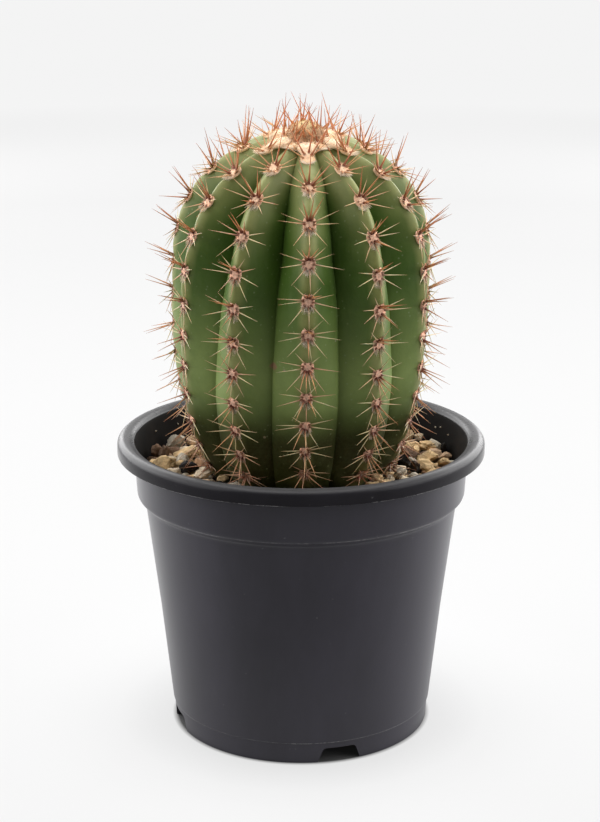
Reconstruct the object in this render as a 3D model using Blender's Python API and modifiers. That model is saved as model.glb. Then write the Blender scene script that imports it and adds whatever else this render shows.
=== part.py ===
"""A ribbed column cactus in a black plastic nursery pot.

Metres, +Z up. The origin is at the centre of the pot's foot, on the ground.
The rib that faces the viewer points along -Y. Angles round the pot are
measured from -Y towards +X.
"""

import math
import random

import bmesh
import bpy
import numpy as np
from mathutils import Matrix, Vector

# The pot, a six-inch nursery pot
LIP_RADIUS = 0.0757
LIP_TOP = 0.1234
LIP_SKIRT_BOTTOM = 0.1170
COLLAR_TOP_RADIUS = 0.0689
COLLAR_BOTTOM_RADIUS = 0.0678
COLLAR_BOTTOM = 0.0997
WALL_TOP_RADIUS = 0.0645
WALL_TOP = 0.0964
WALL_MIDDLE_RADIUS = 0.0589
WALL_MIDDLE = 0.0510
FOOT_RADIUS = 0.0544
FOOT_LINE = 0.0091
FOOT_INSET = 0.0005
SOLE_RADIUS = 0.0531
SOLE_WIDTH = 0.0018
WALL = 0.0014
FLOOR_TOP = 0.0094
FLOOR_THICKNESS = 0.0018
ROUND_STEPS = 48
LIP_ARC_STEPS = 6

# The drain notches in the foot and the holes in the floor
NOTCH_COUNT = 4
FIRST_NOTCH_DEGREES = 17.0
NOTCH_TOP_WIDTH = 0.0134
NOTCH_BOTTOM_WIDTH = 0.0190
NOTCH_HEIGHT = 0.0064
NOTCH_DEPTH = 0.0120
DRAIN_RADIUS = 0.0045
DRAIN_CIRCLE = 0.0380

# The cactus has a frame of its own, which leans towards the viewer. Heights in
# that frame are measured along the stem from STEM_BASE.
STEM_BASE = (-0.0013, 0.0059, 0.1120)
LEAN_DEGREES = 10.0
ROLL_DEGREES = 1.3
RIB_COUNT = 11
RIB_PHASE_DEGREES = 2.6
STEM_RADIUS = 0.0522
WIDEST_HEIGHT = 0.0700
CROWN_HEIGHT = 0.0685
CROWN_POWER = 3.0
TAPER_DEPTH = 0.0955
TAPER_POWER = 2.5
# Depth of the valleys between ribs against arc length from the crown
RIB_DEPTHS = ((0.0, 0.0), (0.012, 0.0016), (0.025, 0.0056), (0.040, 0.0114),
              (0.064, 0.0146), (0.088, 0.0105), (0.110, 0.0080), (0.147, 0.0042),
              (0.175, 0.0018), (0.219, 0.0))
RIB_FLANK_POWER = 1.25

# Areoles: the places along each rib, from the crown down, where spines grow
AREOLES_PER_RIB = 12
FIRST_AREOLE = 0.0174
AREOLE_SPACING = 0.01575
AREOLE_SPACING_LOSS = 0.00021
AREOLE_HALF_LENGTH = 0.0024
AREOLE_RISE = 0.0011
LOWEST_AREOLE = 0.1165
BURIED_ROWS = (0.177, 0.188, 0.200)

# Spines: two that spread sideways and a stout one outwards
SPINE_RADIUS = 0.00045
CENTRAL_RADIUS = 0.00055
SIDE_SPINE_LENGTH = 0.0105
CENTRAL_SPINE_LENGTH = 0.0138
SPINE_ROOT_DEPTH = 0.0012
SPINE_JITTER = 0.12
LOWEST_TIP = 0.1136
WIDEST_TIP = 0.0640
CROWN_SPINES = 7
CROWN_SPINE_LENGTH = 0.0145

# The potting mix and its stones
FIT_GAP = 0.0003
HOLE_GAP = 0.0004
HOLE_ROWS = (0.158, 0.164, 0.170)
MIX_EDGE_HEIGHT = 0.1056
MIX_MIDDLE_HEIGHT = 0.1070
STONE_COUNT = 92
STONE_RADII = (0.0032, 0.0044)
STONE_SINK = 0.25
STONE_ROUGHNESS = 0.25
STONE_TOP = 0.1120
STONE_SPACING = 1.55

MERGE = 0.00001
SEED = 11


def clear_scene():
    for obj in list(bpy.data.objects):
        bpy.data.objects.remove(obj)


def make_collection(name):
    collection = bpy.data.collections.new(name)
    bpy.context.scene.collection.children.link(collection)
    return collection


def make_material(name, color, roughness):
    material = bpy.data.materials.new(name)
    material.use_nodes = True
    shader = material.node_tree.nodes["Principled BSDF"]
    shader.inputs["Base Color"].default_value = (*color, 1.0)
    shader.inputs["Roughness"].default_value = roughness
    shader.inputs["Metallic"].default_value = 0.0
    return material


def add_object(name, mesh, material, collection):
    mesh.materials.append(material)
    obj = bpy.data.objects.new(name, mesh)
    collection.objects.link(obj)
    return obj


def bmesh_object(name, bm, material, collection):
    mesh = bpy.data.meshes.new(name)
    bm.to_mesh(mesh)
    bm.free()
    return add_object(name, mesh, material, collection)


def around(radius, degrees, height):
    """A point at this distance from the pot's axis, turned from -Y towards +X."""
    angle = math.radians(degrees)
    return Vector((radius * math.sin(angle), -radius * math.cos(angle), height))


def turned(name, profile, material, collection):
    """A solid of revolution. The profile runs from the axis, up the inside and down the outside."""
    mesh = bpy.data.meshes.new(name)
    points = [(radius, 0.0, height) for radius, height in profile]
    mesh.from_pydata(points, [(i, i + 1) for i in range(len(points) - 1)], [])
    obj = add_object(name, mesh, material, collection)
    screw = obj.modifiers.new("Turn", "SCREW")
    screw.steps = ROUND_STEPS
    screw.render_steps = ROUND_STEPS
    screw.use_merge_vertices = True
    screw.merge_threshold = MERGE
    screw.use_smooth_shade = True
    return obj


def add_boolean(obj, name, collection, operation, solver):
    modifier = obj.modifiers.new(name, "BOOLEAN")
    modifier.operation = operation
    modifier.operand_type = "COLLECTION"
    modifier.collection = collection
    modifier.solver = solver
    return modifier


def apply_modifiers(obj):
    """Makes the mesh that the modifiers give the object's own."""
    graph = bpy.context.evaluated_depsgraph_get()
    mesh = bpy.data.meshes.new_from_object(obj.evaluated_get(graph))
    obj.modifiers.clear()
    obj.data = mesh


def fuse(obj, collection, solver):
    """Joins everything in the collection to the object in one union and removes the loose pieces."""
    add_boolean(obj, "Fuse", collection, "UNION", solver)
    apply_modifiers(obj)
    for piece in list(collection.objects):
        bpy.data.objects.remove(piece)
    bpy.data.collections.remove(collection)


def shade(obj):
    obj.data.shade_smooth()
    obj.data.set_sharp_from_angle(angle=math.radians(40))


def wall_outline():
    """The outside of the wall under the shoulder, from the top down, as radius and height."""
    return ((WALL_TOP_RADIUS, WALL_TOP), (WALL_MIDDLE_RADIUS, WALL_MIDDLE), (FOOT_RADIUS, FOOT_LINE))


def inner_outline():
    """The inside of the pot from the floor's edge up to the lip's root."""
    corner = 0.0015
    floor_edge = FOOT_RADIUS - WALL
    points = [(floor_edge - corner, FLOOR_TOP), (floor_edge, FLOOR_TOP + corner)]
    points += [(radius - WALL, height) for radius, height in reversed(wall_outline()[:2])]
    points += [(COLLAR_BOTTOM_RADIUS - WALL, COLLAR_BOTTOM + WALL),
               (COLLAR_TOP_RADIUS - WALL, LIP_TOP - 0.0044)]
    return points


def lip_outline():
    """The rolled lip: over the top as half an ellipse, down the skirt and back up underneath."""
    inner = COLLAR_TOP_RADIUS - WALL
    middle = (inner + LIP_RADIUS) / 2
    half_width = (LIP_RADIUS - inner) / 2
    rise = 0.0044
    points = []
    for step in range(1, LIP_ARC_STEPS + 1):
        angle = math.pi * (1 - step / LIP_ARC_STEPS)
        points.append((middle + half_width * math.cos(angle), LIP_TOP - rise + rise * math.sin(angle)))
    skirt = LIP_RADIUS - 0.0012
    points += [(LIP_RADIUS, LIP_SKIRT_BOTTOM + 0.0003), (LIP_RADIUS - 0.0003, LIP_SKIRT_BOTTOM),
               (skirt, LIP_SKIRT_BOTTOM), (skirt - 0.0003, LIP_TOP - 0.0039),
               (skirt - 0.0015, LIP_TOP - 0.0022), (COLLAR_TOP_RADIUS + 0.0008, LIP_TOP - 0.0022),
               (COLLAR_TOP_RADIUS, LIP_TOP - 0.0036)]
    return points


def make_pot(parts, cutters):
    plastic = make_material("black_plastic", (0.045, 0.043, 0.048), 0.42)
    shoulder = [(COLLAR_BOTTOM_RADIUS, COLLAR_BOTTOM),
                (COLLAR_BOTTOM_RADIUS - 0.0005, COLLAR_BOTTOM - 0.0011),
                (WALL_TOP_RADIUS + 0.0009, WALL_TOP + 0.0009)]
    foot_top = FOOT_RADIUS - FOOT_INSET
    floor_under = FLOOR_TOP - FLOOR_THICKNESS
    foot = [(foot_top, FOOT_LINE - FOOT_INSET), (SOLE_RADIUS + 0.0002, 0.0008), (SOLE_RADIUS - 0.0004, 0.0),
            (SOLE_RADIUS - SOLE_WIDTH, 0.0), (foot_top - SOLE_WIDTH, floor_under), (0.0, floor_under)]
    profile = [(0.0, FLOOR_TOP)] + inner_outline() + lip_outline() + shoulder + list(wall_outline()) + foot
    pot = turned("pot", profile, plastic, parts)
    for index in range(NOTCH_COUNT):
        degrees = FIRST_NOTCH_DEGREES + index * 360 / NOTCH_COUNT
        make_notch(index, degrees, plastic, cutters)
        make_drain(f"drain_cutter_{index}", around(DRAIN_CIRCLE, degrees, FLOOR_TOP), plastic, cutters)
    make_drain("drain_cutter_middle", Vector((0.0, 0.0, FLOOR_TOP)), plastic, cutters)
    add_boolean(pot, "Drainage", cutters, "DIFFERENCE", "EXACT")
    apply_modifiers(pot)
    shade(pot)
    return pot


def make_notch(index, degrees, material, cutters):
    """A block with sloping ends that cuts one drain notch through the foot ring."""
    bm = bmesh.new()
    bmesh.ops.create_cube(bm, size=1.0)
    for vert in bm.verts:
        top = vert.co.z > 0
        vert.co.x *= NOTCH_TOP_WIDTH if top else NOTCH_BOTTOM_WIDTH
        vert.co.y *= NOTCH_DEPTH
        vert.co.z = NOTCH_HEIGHT if top else -0.0010
    turn = Matrix.Rotation(math.radians(degrees), 4, "Z")
    bm.transform(turn @ Matrix.Translation((0.0, -SOLE_RADIUS, 0.0)))
    show_as_cutter(bmesh_object(f"notch_cutter_{index}", bm, material, cutters))


def make_drain(name, centre, material, cutters):
    bm = bmesh.new()
    bmesh.ops.create_cone(bm, cap_ends=True, segments=16, radius1=DRAIN_RADIUS, radius2=DRAIN_RADIUS,
                          depth=4 * FLOOR_THICKNESS)
    bm.transform(Matrix.Translation(centre))
    show_as_cutter(bmesh_object(name, bm, material, cutters))


def show_as_cutter(obj):
    obj.hide_render = True
    obj.display_type = "WIRE"


def stem_outline(steps=240):
    """Rib crest outline from the crown to the buried tip: arc length, radius and height at each step."""
    share = np.linspace(0.0, 1.0, steps)
    # The steps crowd towards both ends, where the outline turns fastest.
    crown = 1 - share ** 2
    taper = 1 - (1 - share[1:]) ** 2
    radii = np.concatenate([STEM_RADIUS * np.sqrt(1 - crown ** CROWN_POWER),
                            STEM_RADIUS * np.sqrt(1 - taper ** TAPER_POWER)])
    heights = np.concatenate([WIDEST_HEIGHT + CROWN_HEIGHT * crown,
                              WIDEST_HEIGHT - TAPER_DEPTH * taper])
    lengths = np.hypot(np.diff(radii), np.diff(heights))
    return np.concatenate([[0.0], np.cumsum(lengths)]), radii, heights


ARC, RADII, HEIGHTS = stem_outline()
STEM_ARC = float(ARC[-1])
STEM_PLACE = (Matrix.Translation(STEM_BASE)
              @ Matrix.Rotation(math.radians(ROLL_DEGREES), 4, "Y")
              @ Matrix.Rotation(math.radians(LEAN_DEGREES), 4, "X"))


def crest(arc):
    """Radius, height and outward normal (in radius and height) of the rib crest at this arc length."""
    step = 0.0005
    before, after = max(arc - step, 0.0), min(arc + step, STEM_ARC)
    along = np.array([np.interp(after, ARC, RADII) - np.interp(before, ARC, RADII),
                      np.interp(after, ARC, HEIGHTS) - np.interp(before, ARC, HEIGHTS)])
    along /= np.linalg.norm(along)
    return float(np.interp(arc, ARC, RADII)), float(np.interp(arc, ARC, HEIGHTS)), (-along[1], along[0])


def rib_depth(arc):
    lengths, depths = zip(*RIB_DEPTHS)
    return float(np.interp(arc, lengths, depths))


def areole_arc(place):
    """Arc length from the crown to the areole at this place. Spacing shrinks towards the ground."""
    return FIRST_AREOLE + AREOLE_SPACING * place - AREOLE_SPACING_LOSS * place * place


def rib_shift(rib):
    """Areoles on neighbouring ribs alternate, apart from two ribs at the back."""
    rib %= RIB_COUNT
    return -0.5 * (min(rib, RIB_COUNT - rib) % 2)


def rib_angle(rib):
    return RIB_PHASE_DEGREES + rib * 360 / RIB_COUNT


def stem_point(rib, side, arc):
    """Surface point. side is 0 on the crest and 1 or -1 in the valley on either side."""
    radius, height, normal = crest(arc)
    sink = rib_depth(arc) * abs(side) ** RIB_FLANK_POWER
    radius = max(radius - normal[0] * sink, 0.0)
    return around(radius, rib_angle(rib) + side * 180 / RIB_COUNT, height - normal[1] * sink)


def row_arcs(shift):
    """Arc lengths of the stem's rows between its poles for an areole shift: three at each areole."""
    arcs = []
    for areole in range(AREOLES_PER_RIB):
        middle = areole_arc(areole + shift)
        arcs += [middle - AREOLE_HALF_LENGTH, middle, middle + AREOLE_HALF_LENGTH]
    return [arcs[0] / 2] + arcs + list(BURIED_ROWS)


def make_stem(material, parts):
    """A sphere of rows and columns, each point of which is moved to its place on the ribbed stem.

    Returns the stem and, for each areole, its rib, its arc length and the four
    flat sides of its cushion. All are in the stem's own frame.
    """
    columns = 6
    rows = len(row_arcs(0.0)) + 1
    bm = bmesh.new()
    bmesh.ops.create_uvsphere(bm, u_segments=RIB_COUNT * columns, v_segments=rows, radius=1.0)
    tops = []
    for vert in bm.verts:
        row = round(math.acos(max(-1.0, min(1.0, vert.co.z))) / math.pi * rows)
        if row in (0, rows):
            vert.co = Vector((0.0, 0.0, float(HEIGHTS[0 if row == 0 else -1])))
            continue
        turn = math.atan2(vert.co.x, -vert.co.y) / (2 * math.pi) * RIB_COUNT * columns
        rib, column = divmod(round(turn) + columns // 2, columns)
        column -= columns // 2
        shift = rib_shift(rib)
        if column == -columns // 2:
            shift = (shift + rib_shift(rib - 1)) / 2
        arc = row_arcs(shift)[row - 1]
        half_width = crest(arc)[0] * math.pi / RIB_COUNT
        edge = min(AREOLE_HALF_LENGTH / half_width, 0.45)
        side = math.copysign((0.0, edge, 0.55, 1.0)[abs(column)], column)
        place = stem_point(rib, side, arc)
        on_areole = column == 0 and 2 <= row <= 1 + 3 * AREOLES_PER_RIB and (row - 2) % 3 == 1
        if on_areole and (STEM_PLACE @ place).z > LOWEST_AREOLE:
            normal = crest(arc)[2]
            place += around(normal[0], rib_angle(rib), normal[1]) * AREOLE_RISE
            tops.append((vert, rib, arc))
        vert.co = place
    areoles = [(rib, arc, cushion_sides(vert)) for vert, rib, arc in tops]
    bmesh.ops.recalc_face_normals(bm, faces=bm.faces)
    return bmesh_object("cactus", bm, material, parts), areoles


def cushion_sides(top):
    """Splits the four faces round a cushion's top and returns its four flat sides, as corner points."""
    sides = []
    for face in list(top.link_faces):
        beside = [edge.other_vert(top) for edge in top.link_edges if edge in face.edges]
        bmesh.utils.face_split(face, beside[0], beside[1])
        sides.append((top.co.copy(), beside[0].co.copy(), beside[1].co.copy()))
    return sides


def incentre(corners):
    """The point of a triangle that is furthest from its edges."""
    first, second, third = corners
    lengths = ((second - third).length, (third - first).length, (first - second).length)
    total = sum((corner * length for corner, length in zip(corners, lengths)), Vector())
    return total / sum(lengths)


def areole_directions(rib, arc):
    """The outward, upward and sideways directions at an areole."""
    normal = crest(arc)[2]
    outward = around(normal[0], rib_angle(rib), normal[1])
    sideways = around(1.0, rib_angle(rib) + 90, 0.0)
    return outward, outward.cross(sideways), sideways


def bend_clear(root, direction, length):
    """Turns a spine up until its tip stands clear of the stones, and in until it is clear of the wall."""
    for _ in range(12):
        tip = root + direction * length
        if tip.z < LOWEST_TIP:
            direction = (direction + Vector((0.0, 0.0, 0.15))).normalized()
        elif math.hypot(tip.x, tip.y) > WIDEST_TIP and tip.z < LIP_TOP:
            direction = (direction + Vector((0.0, 0.0, 0.10))).normalized()
        else:
            break
    return direction


def make_spine(root, direction, length, radius, material, spines):
    """A three-sided needle whose foot is sunk into its areole. Root and direction are in the stem's frame."""
    root = STEM_PLACE @ root
    direction = bend_clear(root, STEM_PLACE.to_3x3() @ direction, length)
    bm = bmesh.new()
    bmesh.ops.create_cone(bm, cap_ends=True, segments=3, radius1=radius, radius2=0.0,
                          depth=length + SPINE_ROOT_DEPTH)
    middle = root + direction * ((length - SPINE_ROOT_DEPTH) / 2)
    turn = direction.to_track_quat("Z", "Y").to_matrix().to_4x4()
    bm.transform(Matrix.Translation(middle) @ turn)
    bmesh_object(f"spine_{len(spines.objects)}", bm, material, spines)


def make_areole_spines(rib, arc, sides, central_side, rng, material, spines):
    """Two side spines from the cushion's upper sides and a stout one from the lower side chosen."""
    outward, upward, sideways = areole_directions(rib, arc)
    # Near the crown the stout spines stand up, and near the ground they point down.
    lift = 0.45 - 0.75 * arc / areole_arc(AREOLES_PER_RIB - 1)
    middle = sides[0][0]
    for corners in sides:
        root = incentre(corners)
        hand = math.copysign(1.0, (root - middle).dot(sideways))
        if (root - middle).dot(upward) > 0:
            direction = hand * sideways + 0.10 * upward + 0.38 * outward
            length, radius = SIDE_SPINE_LENGTH, SPINE_RADIUS
        elif hand == central_side:
            direction = 0.2 * hand * sideways + lift * upward + outward
            length, radius = CENTRAL_SPINE_LENGTH, CENTRAL_RADIUS
        else:
            continue
        noise = Vector([rng.uniform(-SPINE_JITTER, SPINE_JITTER) for _ in range(3)])
        direction = (direction.normalized() + noise).normalized()
        make_spine(root, direction, length * rng.uniform(0.9, 1.1), radius, material, spines)


def make_cactus(parts):
    rng = random.Random(SEED)
    skin = make_material("cactus_skin", (0.085, 0.160, 0.040), 0.45)
    horn = make_material("spine_horn", (0.480, 0.200, 0.100), 0.50)
    cactus, areoles = make_stem(skin, parts)
    cactus.data.transform(STEM_PLACE)
    spines = make_collection("spines")
    for index, (rib, arc, sides) in enumerate(areoles):
        central_side = 1.0 if index % 2 else -1.0
        make_areole_spines(rib, arc, sides, central_side, rng, horn, spines)
    for index in range(CROWN_SPINES):
        degrees = index * 360 / CROWN_SPINES
        root = around(0.0035, degrees, float(HEIGHTS[0]) - 0.0002)
        direction = around(0.30, degrees, 1.0).normalized()
        make_spine(root, direction, CROWN_SPINE_LENGTH * rng.uniform(0.8, 1.0), SPINE_RADIUS, horn, spines)
    fuse(cactus, spines, "MANIFOLD")
    shade(cactus)
    return cactus


def stem_gap(point):
    """Distance from the rib crests to a point near the ground, square to the stem's axis."""
    local = STEM_PLACE.inverted() @ point
    depth = min(max((WIDEST_HEIGHT - local.z) / TAPER_DEPTH, 0.0), 1.0)
    return math.hypot(local.x, local.y) - STEM_RADIUS * math.sqrt(1 - depth ** TAPER_POWER)


def make_hole_cutter(material, cutters):
    """A turned solid that stands clear of the stem's buried end and leans with it."""
    profile = []
    for arc in HOLE_ROWS + BURIED_ROWS:
        radius, height, normal = crest(arc)
        profile.append((radius + normal[0] * HOLE_GAP, height + normal[1] * HOLE_GAP))
    tip = float(HEIGHTS[-1]) - HOLE_GAP
    profile = [(0.0, profile[0][1])] + profile + [(crest(STEM_ARC - 0.006)[0], tip), (0.0, tip)]
    cutter = turned("hole_cutter", profile, material, cutters)
    cutter.matrix_world = STEM_PLACE
    show_as_cutter(cutter)


def make_mix_body(material, parts, cutters):
    """The mix fills the pot and has a plain hole that follows the buried end of the stem."""
    wall = [(radius - FIT_GAP, height) for radius, height in inner_outline()]
    share = (MIX_EDGE_HEIGHT - wall[-2][1]) / (wall[-1][1] - wall[-2][1])
    top_edge = (wall[-2][0] + (wall[-1][0] - wall[-2][0]) * share, MIX_EDGE_HEIGHT)
    profile = [(0.0, MIX_MIDDLE_HEIGHT), top_edge] + wall[-2:0:-1]
    profile += [(wall[0][0], wall[0][1] + FIT_GAP), (0.0, FLOOR_TOP + FIT_GAP)]
    body = turned("potting_mix", profile, material, parts)
    make_hole_cutter(material, cutters)
    add_boolean(body, "Hole", cutters, "DIFFERENCE", "EXACT")
    apply_modifiers(body)
    return body


def stone_places(rng):
    """Centres and radii of stones strewn over the ring between the stem and the pot, none too close."""
    places = []
    outer = COLLAR_BOTTOM_RADIUS - WALL - 2 * FIT_GAP
    for _ in range(20000):
        if len(places) == STONE_COUNT:
            break
        radius = rng.uniform(*STONE_RADII)
        reach = math.sqrt(rng.uniform(0.2, 1.0)) * (outer - radius)
        place = around(reach, rng.uniform(0.0, 360.0), 0.0)
        gap = min(stem_gap(place + Vector((0.0, 0.0, height))) for height in (MIX_EDGE_HEIGHT, STONE_TOP))
        spaced = all((place - other).length > STONE_SPACING * min(radius, size) for other, size in places)
        if gap > radius + 0.0008 and spaced:
            places.append((place, radius))
    return places


def make_stones(rng, material, stones):
    for place, radius in stone_places(rng):
        share = place.length / COLLAR_BOTTOM_RADIUS
        ground = MIX_MIDDLE_HEIGHT + (MIX_EDGE_HEIGHT - MIX_MIDDLE_HEIGHT) * share
        bm = bmesh.new()
        bmesh.ops.create_cube(bm, size=radius * 1.3)
        for vert in bm.verts:
            vert.co *= 1 - rng.uniform(0.0, STONE_ROUGHNESS)
        squash = Matrix.Diagonal((1.0, rng.uniform(0.75, 1.0), rng.uniform(0.70, 0.95), 1.0))
        turn = Matrix.Rotation(rng.uniform(0.0, math.tau), 4, "Z")
        height = min(ground + radius * STONE_SINK, STONE_TOP - radius * 0.95)
        bm.transform(Matrix.Translation((place.x, place.y, height)) @ turn @ squash)
        bmesh_object(f"stone_{len(stones.objects)}", bm, material, stones)


def make_potting_mix(parts, cutters):
    rng = random.Random(SEED + 1)
    grit = make_material("pumice_grit", (0.400, 0.300, 0.190), 0.90)
    body = make_mix_body(grit, parts, cutters)
    stones = make_collection("stones")
    make_stones(rng, grit, stones)
    fuse(body, stones, "MANIFOLD")
    shade(body)
    return body


def build():
    clear_scene()
    parts = make_collection("potted_column_cactus")
    pot = make_pot(parts, make_collection("pot_cutters"))
    mix = make_potting_mix(parts, make_collection("mix_cutters"))
    cactus = make_cactus(parts)
    mix.parent = pot
    cactus.parent = pot


build()
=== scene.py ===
"""Looks of the potted column cactus: plant, gravel, pot and studio."""

import math
import random

import bmesh
import bpy
from mathutils import Matrix, Vector, noise


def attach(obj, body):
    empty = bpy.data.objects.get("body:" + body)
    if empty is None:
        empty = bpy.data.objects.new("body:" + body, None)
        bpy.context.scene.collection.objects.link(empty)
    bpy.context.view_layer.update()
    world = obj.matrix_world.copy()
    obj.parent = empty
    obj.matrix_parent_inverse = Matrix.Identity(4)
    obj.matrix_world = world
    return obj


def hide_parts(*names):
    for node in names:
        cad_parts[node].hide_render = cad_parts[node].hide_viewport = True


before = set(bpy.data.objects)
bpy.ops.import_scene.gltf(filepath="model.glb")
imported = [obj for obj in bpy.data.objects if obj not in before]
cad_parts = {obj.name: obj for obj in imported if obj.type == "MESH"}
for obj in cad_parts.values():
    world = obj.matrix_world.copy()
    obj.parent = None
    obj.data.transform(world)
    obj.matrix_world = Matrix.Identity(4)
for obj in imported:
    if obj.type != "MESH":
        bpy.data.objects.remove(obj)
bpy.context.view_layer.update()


# Camera. It stands in front of the pot and a little above it, and looks
# down at the middle of the object.
CAMERA_PLACE = Vector((-0.00041, -0.79050, 0.36210))
CAMERA_TARGET = Vector((-0.00041, 0.0, 0.13293))
CAMERA_LENS = 87.59

camera_data = bpy.data.cameras.new("camera")
camera_data.lens = CAMERA_LENS
camera_data.sensor_width = 36.0
camera = bpy.data.objects.new("camera", camera_data)
camera.location = CAMERA_PLACE
camera.rotation_euler = (CAMERA_TARGET - CAMERA_PLACE).to_track_quat("-Z", "Y").to_euler()
bpy.context.scene.collection.objects.link(camera)
bpy.context.scene.camera = camera
bpy.context.scene.view_settings.view_transform = "Standard"


# Pot. A nursery pot moulded in one piece from black polypropylene: rolled lip,
# collar, tapering wall and a foot ring with four drain notches.
POT_PROFILE_MM = (
    # The floor's upper side, then the inside of the wall and of the collar.
    (0.0, 9.4), (51.0, 9.4), (52.6, 10.0), (53.05, 11.4), (57.5, 51.0), (63.1, 96.4), (63.9, 98.6),
    (66.3, 101.1), (66.45, 102.5), (68.35, 119.5),
    # Over the rolled lip and down to its lower edge.
    (68.5, 121.2), (68.62, 121.6), (68.85, 121.8), (69.3, 121.85), (69.5, 122.0), (70.0, 122.5),
    (70.7, 122.9), (71.6, 123.2), (72.6, 123.35), (73.6, 123.15), (74.5, 122.7), (75.15, 122.15),
    (75.5, 121.6), (75.66, 120.9), (75.7, 119.5), (75.7, 117.4), (75.62, 117.15), (75.4, 117.0),
    (74.8, 117.0),
    # The hollow behind the lip.
    (74.5, 117.25), (74.3, 119.6), (73.2, 120.8), (70.8, 121.1), (69.6, 120.6), (69.05, 119.6), (68.9, 118.0),
    # The outside of the collar, its shoulder, the wall and the foot ring.
    (67.9, 101.0), (67.8, 100.2), (67.55, 99.5), (67.0, 98.9), (65.5, 97.7), (64.9, 97.1), (64.55, 96.3),
    (64.45, 95.4), (58.9, 51.0), (54.45, 9.6), (54.35, 9.2), (54.05, 8.9), (53.9, 8.6), (53.85, 8.1),
    (53.35, 0.7), (53.2, 0.25), (52.8, 0.0), (51.5, 0.0), (51.3, 0.3),
    # The hollow under the floor.
    (52.1, 7.0), (51.9, 7.5), (51.3, 7.6), (0.0, 7.6))
POT_STEPS = 180
NOTCH_DEGREES = (17.0, 107.0, 197.0, 287.0)
NOTCH_TOP = 0.0134
NOTCH_BOTTOM = 0.0190
NOTCH_HEIGHT = 0.0064
NOTCH_REACH = 0.012
FOOT_RADIUS = 0.0531
DRAIN_CIRCLE = 0.0380
DRAIN_RADIUS = 0.0045
DRAIN_LEVEL = 0.0085
DRAIN_CUT = 0.008
# Height, half width and patchiness of the painted highlights along the edges: the lip's, the collar's and the
# foot's.
EDGE_HIGHLIGHTS = ((0.11712, 0.00026, 0.49), (0.09935, 0.00030, 0.54), (0.00905, 0.00027, 0.51))
# Height and radius of the collar's inside, at its foot and at its top.
COLLAR_FOOT = (0.1025, 0.0668)
COLLAR_TOP = (0.1213, 0.0688)
LIP_UNDERSIDE = (0.1166, 0.1172)
LIP_PLASTIC = (0.0135, 0.0125, 0.0150)
WALL_PLASTIC = (0.0250, 0.0230, 0.0320)
# Paler grey where the rim faces up: painted sheen.
RIM_TOP_SHEEN = (0.050, 0.049, 0.051)
# Pale grey of the specks and of the painted edge highlights.
SPECK_AND_HIGHLIGHT_GREY = (0.26, 0.255, 0.255)
# Dark inside of the collar: painted shade, with its dust.
SHADED_INSIDE_PLASTIC = (0.006, 0.0052, 0.0050)
SHADED_INSIDE_DUST = (0.018, 0.013, 0.010)


def finished(name, bm, material, smooth_degrees=None):
    """A mesh object at the origin with this material, shaded smooth up to the angle given."""
    mesh = bpy.data.meshes.new(name)
    bm.to_mesh(mesh)
    bm.free()
    mesh.materials.append(material)
    obj = bpy.data.objects.new(name, mesh)
    bpy.context.scene.collection.objects.link(obj)
    if smooth_degrees is not None:
        mesh.shade_smooth()
        mesh.set_sharp_from_angle(angle=math.radians(smooth_degrees))
    return obj


def spun(profile_mm, steps):
    """A bmesh of the profile, given as radius and height in mm, spun round the pot's axis."""
    bm = bmesh.new()
    verts = [bm.verts.new((radius / 1000, 0.0, height / 1000)) for radius, height in profile_mm]
    edges = [bm.edges.new(pair) for pair in zip(verts, verts[1:])]
    bmesh.ops.spin(bm, geom=verts + edges, cent=(0, 0, 0), axis=(0, 0, 1), angle=math.tau, steps=steps,
                   use_merge=True)
    bmesh.ops.remove_doubles(bm, verts=bm.verts, dist=1e-6)
    bmesh.ops.recalc_face_normals(bm, faces=bm.faces)
    return bm


def around(radius, degrees, height):
    """A point at this distance from the pot's axis. Degrees run from -Y towards +X."""
    angle = math.radians(degrees)
    return Vector((radius * math.sin(angle), -radius * math.cos(angle), height))


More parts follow.
